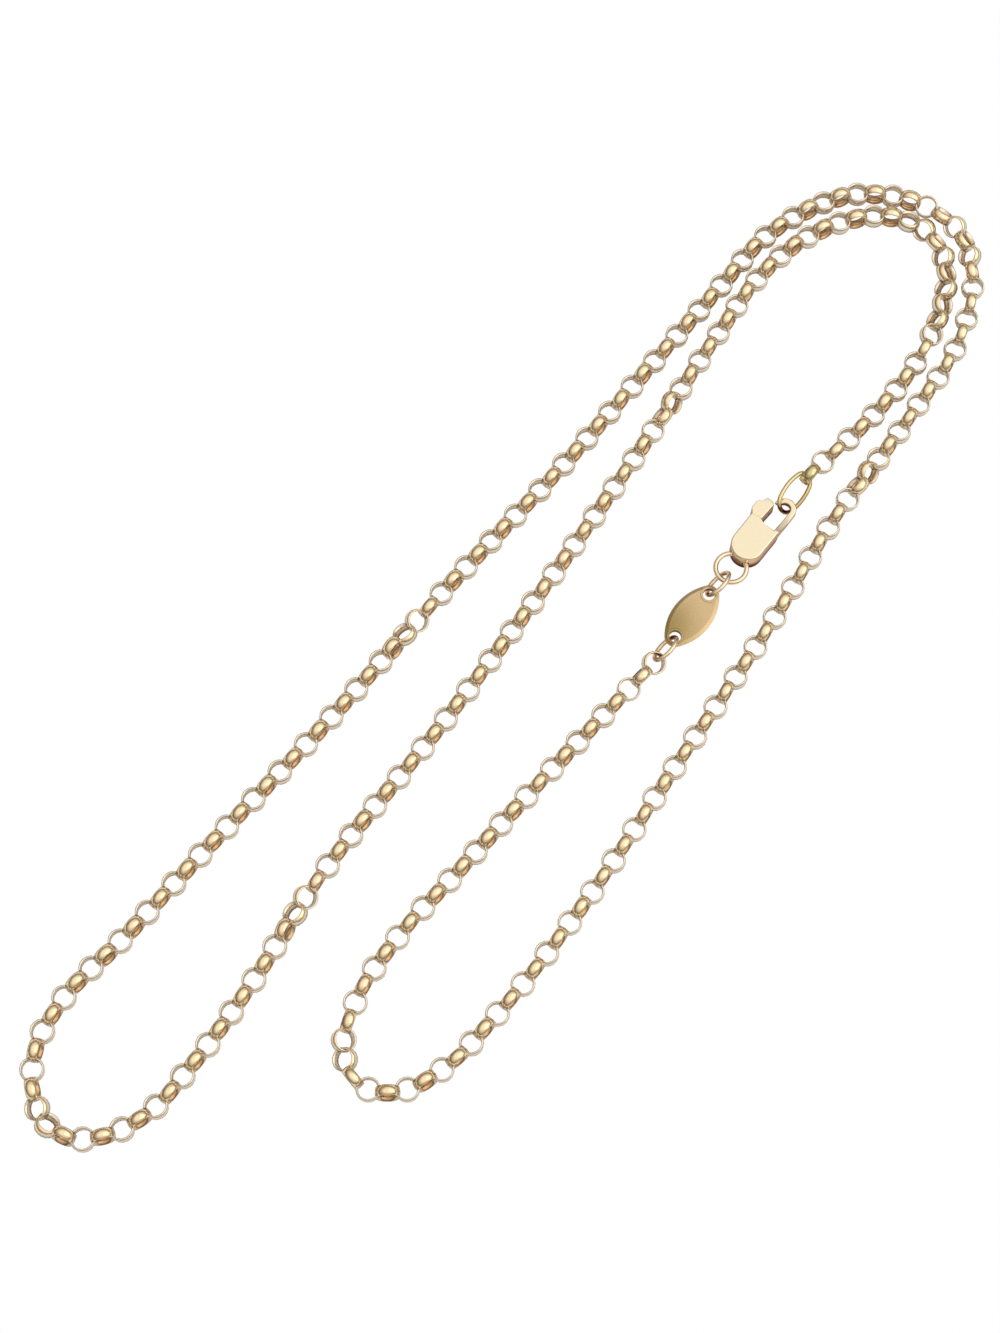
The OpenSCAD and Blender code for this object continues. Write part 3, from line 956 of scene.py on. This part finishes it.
# %% Clasp plate
body_size = size_of("clasp_body")
clasp_at = middle_of("clasp_body")
clasp_at.x -= body_size.x / 2
HALF = body_size.y / 2
BODY_H = body_size.z
ARM_W = 0.5
WINDOW_U = 4.45
PIN_U, PIN_V, PIN_R = 3.3, 0.95, 0.35
PLAY = 0.08
FRONT_R = 1.48
CHEEK_R = FRONT_R - PLAY
RIM_ROUND = 0.16
RIM_FROM = 0.4 * BODY_H
SEAM_WIDTH = 0.03
BESIDE = 0.01
TAIL_STEPS, CHEEK_STEPS = 28, 10


def on_seam(edge, radius):
    """Whether an edge lies on the round seam between the cheeks and the lever."""
    spot = place_of(edge)
    apart = math.hypot(spot.x - PIN_U, spot.y - PIN_V)
    return spot.x > PIN_U and abs(apart - radius) < SEAM_WIDTH


def on_rim(edge):
    """Whether an edge lies on the upper or lower rim of the plate, behind the window."""
    spot = place_of(edge)
    return is_sharp(edge) and abs(spot.z) > RIM_FROM and spot.x < WINDOW_U - BESIDE


def clasp_plate():
    """The plate with its tail and cheeks, in edit mode, with the tail's back at x = 0."""
    piece = upright_edge("clasp_shell", (WINDOW_U, -HALF), BODY_H)
    run_on(HALF - WINDOW_U, 0)
    spin_wire(-180, (HALF, 0), TAIL_STEPS)
    cheek_start = math.asin((HALF - PIN_V) / CHEEK_R)
    cheek_end = -math.acos((WINDOW_U - PIN_U) / CHEEK_R)
    run_on(PIN_U + CHEEK_R * math.cos(cheek_start) - HALF, 0)
    spin_wire(math.degrees(cheek_end - cheek_start), (PIN_U, PIN_V), CHEEK_STEPS)
    foot_v = PIN_V + CHEEK_R * math.sin(cheek_end)
    run_on(0, ARM_W - HALF - foot_v)
    run_on(0, -ARM_W)
    close_ribbon(piece, BODY_H)
    round_edges(piece, RIM_ROUND, lambda e: on_rim(e) and not on_seam(e, CHEEK_R))
    return piece


body = clasp_plate()
print(f"plate: {len(bmesh.from_edit_mesh(body.data).faces)} faces, {2 * HALF:.2f} mm wide")

# %% [markdown]
# # The arm and the hook
# On one side an arm runs forward from the plate. A short step cuts it away below, then its
# top slopes down, and it curls back over as the hook. So the face at its root is extruded
# three times and resized on the way. Then it is spun round in six short steps, and made
# thinner after each of the last three. The arm's edges are rounded finely.

# %% Arm and hook
HOOK_WALL, HOOK_H, TIP_H = 0.6, 0.7, 0.4
STEP_TO, THIN_TO = 4.6, 6.4
HOOK_STEPS = 6
TAPER_STEPS = 3
ARM_ROUND = 0.1
hook_u = body_size.x - HOOK_R
hook_v = HOOK_R - HALF


def grow_arm(piece):
    """Extrudes the arm from the face at its root, up to where the hook begins."""
    stepped_h = (BODY_H + HOOK_H) / 2
    select(piece, "faces", lambda f: f.normal.x > FACING and place_of(f).y < ARM_W - HALF)
    run_on(STEP_TO - WINDOW_U, 0)
    bpy.ops.transform.resize(value=(1, 1, stepped_h / BODY_H),
                             center_override=(STEP_TO, -HALF, BODY_H / 2))
    run_on(THIN_TO - STEP_TO, 0)
    bpy.ops.transform.resize(value=(1, HOOK_WALL / ARM_W, HOOK_H / stepped_h),
                             center_override=(THIN_TO, -HALF, -HOOK_H / 2))
    run_on(hook_u - THIN_TO, 0)


def curl_hook():
    """Curls the selected end of the arm over as the hook, thinned towards its tip."""
    thinner = (TIP_H / HOOK_H) ** (1 / TAPER_STEPS)
    for step in range(HOOK_STEPS):
        spin_wire(180 / HOOK_STEPS, (hook_u, hook_v), 2)
        if step >= HOOK_STEPS - TAPER_STEPS:
            bpy.ops.transform.resize(value=(1, 1, thinner), center_override=(hook_u, 0, 0))


grow_arm(body)
curl_hook()
face_outwards(body)
bpy.ops.object.mode_set(mode="EDIT")
round_edges(body, ARM_ROUND, lambda e: is_sharp(e) and place_of(e).x > WINDOW_U - BESIDE
            and not on_seam(e, CHEEK_R))
pick(body)
print(f"with arm and hook: {body.dimensions.x:.2f} mm long")

# %% [markdown]
# # The slot, the ring's way and the pin
# The real clasp is cast with a slot for the lever, and a pin is pressed through both cheeks.
# The slot is a disc that is cut out between the cheeks. The tail has a round way through it,
# in which the jump ring turns: a torus on the ring's own line, a little thicker than its wire.

# %% Clasp cuts and pin
CHEEK_T = 0.5
SLOT_SIDES, PIN_SIDES = 64, 32
WAY_STEPS, WAY_SIDES = 64, 20
CLASP_CREASE = 35
pin_at = (PIN_U, PIN_V, 0)
cheek_gap = BODY_H - 2 * CHEEK_T


def ring_way(at, turn, wire):
    """A torus to cut the way of a wire ring."""
    bpy.ops.mesh.primitive_torus_add(
        major_radius=turn, minor_radius=wire, major_segments=WAY_STEPS,
        minor_segments=WAY_SIDES, location=at)
    return bpy.context.object


cut_or_join(body, disc("slot", FRONT_R + PLAY, cheek_gap, pin_at, SLOT_SIDES), "DIFFERENCE")
way = ring_way(middle_of("jump_ring") - clasp_at, ring_turn, ring_wire / 2 + PLAY)
cut_or_join(body, way, "DIFFERENCE")
cut_or_join(body, disc("pin", PIN_R, BODY_H - CHEEK_T, pin_at, PIN_SIDES), "UNION")
face_outwards(body)
smooth(body, CLASP_CREASE)
body.location = clasp_at
settle(body, CLASP_GOLD, "clasp_gold", "necklace", "clasp_body")

# %% [markdown]
# # The front of the lever
# The thumb lever closes the mouth of the hook. Its front is nearly as thick as the clasp, has
# a nub for the thumb, and ends just short of the hook's tip. The outline is a ribbon that
# ends in an arc round the pin, along the seam. Two slanted cuts then thin the front a little
# towards its tip, and its edges are rounded.

# %% Lever front
LEVER_H = 2.1
HEEL_R = 0.75
LEVER_TIP_H = 1.9
NUB_U, NUB_L, NUB_H = 5.65, 1.8, 0.4
TIP_GAP = 0.3
TIP_CUT = (0.2, 0.4)
TIP_DIP = 0.1
NUB_FALL = 0.1
TIP_FALL = 0.25
LEVER_ROUND = 0.09
LEVER_SHARP = 18
SEAM_STEPS = 12
lever_tip = hook_u - TIP_GAP


def trace(points):
    """Extrudes the selected upright edge from each point to the next."""
    for (x0, y0), (x1, y1) in zip(points, points[1:]):
        run_on(x1 - x0, y1 - y0)


def slant_cut(piece, at, normal):
    """Cuts off what lies beyond a plane, and closes the cut."""
    bpy.ops.mesh.select_all(action="SELECT")
    bpy.ops.mesh.bisect(plane_co=at, plane_no=normal, use_fill=True, clear_outer=True)


def lever_front():
    """The front of the lever, from the seam before the cheeks to its tip."""
    inner = PIN_V - HEEL_R / 2
    low = inner - TIP_DIP
    seam_in = -math.asin((PIN_V - inner) / FRONT_R)
    seam_out = math.asin((HALF - PIN_V) / FRONT_R)
    start = (PIN_U + FRONT_R * math.cos(seam_in), inner)
    piece = upright_edge("thumb_lever", start, LEVER_H)
    trace([
        start, (lever_tip - TIP_CUT[0], low), (lever_tip, low + TIP_CUT[1]),
        (lever_tip, HALF - TIP_FALL), (NUB_U + NUB_L / 2, HALF - NUB_FALL),
        (NUB_U + NUB_L / 4, HALF + NUB_H),
        (NUB_U - NUB_L / 4, HALF + NUB_H), (NUB_U - NUB_L / 2, HALF),
        (PIN_U + FRONT_R * math.cos(seam_out), HALF)
    ])
    spin_wire(math.degrees(seam_in - seam_out), (PIN_U, PIN_V), SEAM_STEPS)
    close_ribbon(piece, LEVER_H)
    thin_from = NUB_U + NUB_L / 2
    fall = (LEVER_H - LEVER_TIP_H) / 2
    for up in (1, -1):
        slant_cut(piece, (thin_from, 0, up * LEVER_H / 2),
                  (fall, 0, up * (lever_tip - thin_from)))
    round_edges(piece, LEVER_ROUND,
                lambda e: is_sharp(e, LEVER_SHARP) and not on_seam(e, FRONT_R))
    pick(piece)
    return piece


lever = lever_front()
print(f"lever front: {len(lever.data.polygons)} faces")

# %% [markdown]
# # The heel of the lever
# Behind its front, a flat heel reaches between the two cheeks and turns on the pin. It is a
# bar and a disc that are joined to the front, with a bore a little wider than the pin. The
# lever rides on a body of its own, because it is the one stiff piece that really swings.

# %% Lever heel
STALK_IN = 0.2
PIN_PLAY = 0.04
heel_h = cheek_gap - 2 * PLAY
bpy.ops.mesh.primitive_cube_add(
    size=1, location=(PIN_U + (FRONT_R + STALK_IN) / 2, PIN_V, 0),
    scale=(FRONT_R + STALK_IN, HEEL_R, heel_h))
cut_or_join(lever, bpy.context.object, "UNION")
cut_or_join(lever, disc("heel", HEEL_R, heel_h, pin_at), "UNION")
cut_or_join(lever, disc("bore", PIN_R + PIN_PLAY, BODY_H, pin_at, PIN_SIDES), "DIFFERENCE")
face_outwards(lever)
smooth(lever, CLASP_CREASE)
lever.location = clasp_at
settle(lever, CLASP_GOLD, "clasp_gold", "lever", "clasp_lever")

# %% [markdown]
# # The table
# In the picture the table is pure white and bears no shadow, yet the gold does mirror a table
# with some tone. So one sheet of paper plays both parts: it glows plain white for the camera
# alone, and for every other ray it is a dull and slightly warm white.

# %% Table
TABLE_SIDE = 3
DULL_WHITE = (0.95, 0.92, 0.90)
DULLNESS = 0.9
PLAIN_WHITE = (1, 1, 1)
bpy.ops.mesh.primitive_plane_add(size=TABLE_SIDE)
table = bpy.context.object
table.name = table.data.name = "table"
paper = bpy.data.materials.new("white_table")
paper.use_nodes = True
sheet = paper.node_tree
dull = set_up(sheet, sheet.nodes["Principled BSDF"], Base_Color=opaque(DULL_WHITE),
              Roughness=DULLNESS)
glow = add_node(sheet, "ShaderNodeEmission", Color=opaque(PLAIN_WHITE))
ray = sheet.nodes.new("ShaderNodeLightPath")
blend = add_node(sheet, "ShaderNodeMixShader", Fac=ray.outputs["Is Camera Ray"])
fill(sheet, blend.inputs[1], dull.outputs["BSDF"])
fill(sheet, blend.inputs[2], glow.outputs["Emission"])
set_up(sheet, sheet.nodes["Material Output"], Surface=blend.outputs["Shader"])
table.data.materials.append(paper)
print(f"a table of {TABLE_SIDE} by {TABLE_SIDE} m")

# %% [markdown]
# # The tent and the lamp
# Jewellery is photographed in a white tent: light comes from everywhere above, and a darker
# band near the horizon draws the thin dark edges that make polished gold look like metal.
# The world is that tent, as a ramp from the horizon to the top that is brighter on one side,
# and one large soft lamp on that side gives the highlights a direction.

# %% Tent and lamp
TENT = [(0.0, (0.20, 0.23, 0.24)), (0.26, (0.25, 0.28, 0.29)), (0.46, (0.74, 0.74, 0.75)),
        (0.72, (1.0, 1.0, 1.0))]
DIM_SIDE, BRIGHT_SIDE, OVERHEAD = 0.5, 1.1, 1.03
OVERHEAD_FROM, OVERHEAD_TO = 0.6, 0.95
TO_BRIGHT = (0.62, -0.79, 0)
LAMP_SIDE, LAMP_WATTS, LAMP_AT = 0.5, 0.4, (0.16, -0.25, 0.3)

world = bpy.data.worlds.new("tent")
world.use_nodes = True
bpy.context.scene.world = world
sky = world.node_tree
direction = sky.nodes.new("ShaderNodeTexCoord").outputs["Generated"]
split = add_node(sky, "ShaderNodeSeparateXYZ", Vector=direction)
ramp = add_node(sky, "ShaderNodeValToRGB", Fac=split.outputs["Z"])
while len(ramp.color_ramp.elements) < len(TENT):
    ramp.color_ramp.elements.new(1)
for stop, (level, colour) in zip(ramp.color_ramp.elements, TENT):
    stop.position = level
    stop.color = opaque(colour)
towards = work_out(sky, "ShaderNodeVectorMath", "DOT_PRODUCT", direction, TO_BRIGHT)
across = add_node(sky, "ShaderNodeMapRange", Value=towards, From_Min=-1, From_Max=1,
                  To_Min=DIM_SIDE, To_Max=BRIGHT_SIDE)
top = add_node(sky, "ShaderNodeMapRange", interpolation_type="SMOOTHSTEP",
               Value=split.outputs["Z"], From_Min=OVERHEAD_FROM, From_Max=OVERHEAD_TO)
strength = mix(sky, "FLOAT", top.outputs["Result"], across.outputs["Result"], OVERHEAD)
set_up(sky, sky.nodes["Background"], Color=ramp.outputs["Color"], Strength=strength)

lamp = bpy.data.objects.new("soft_lamp", bpy.data.lights.new("soft_lamp", "AREA"))
bpy.context.scene.collection.objects.link(lamp)
lamp.data.size = LAMP_SIDE
lamp.data.energy = LAMP_WATTS
lamp.location = LAMP_AT
lamp.rotation_euler = (-lamp.location).to_track_quat("-Z", "Y").to_euler()
bpy.context.scene.view_settings.view_transform = "Standard"
print(f"the lamp is {lamp.location.length:.2f} m away")
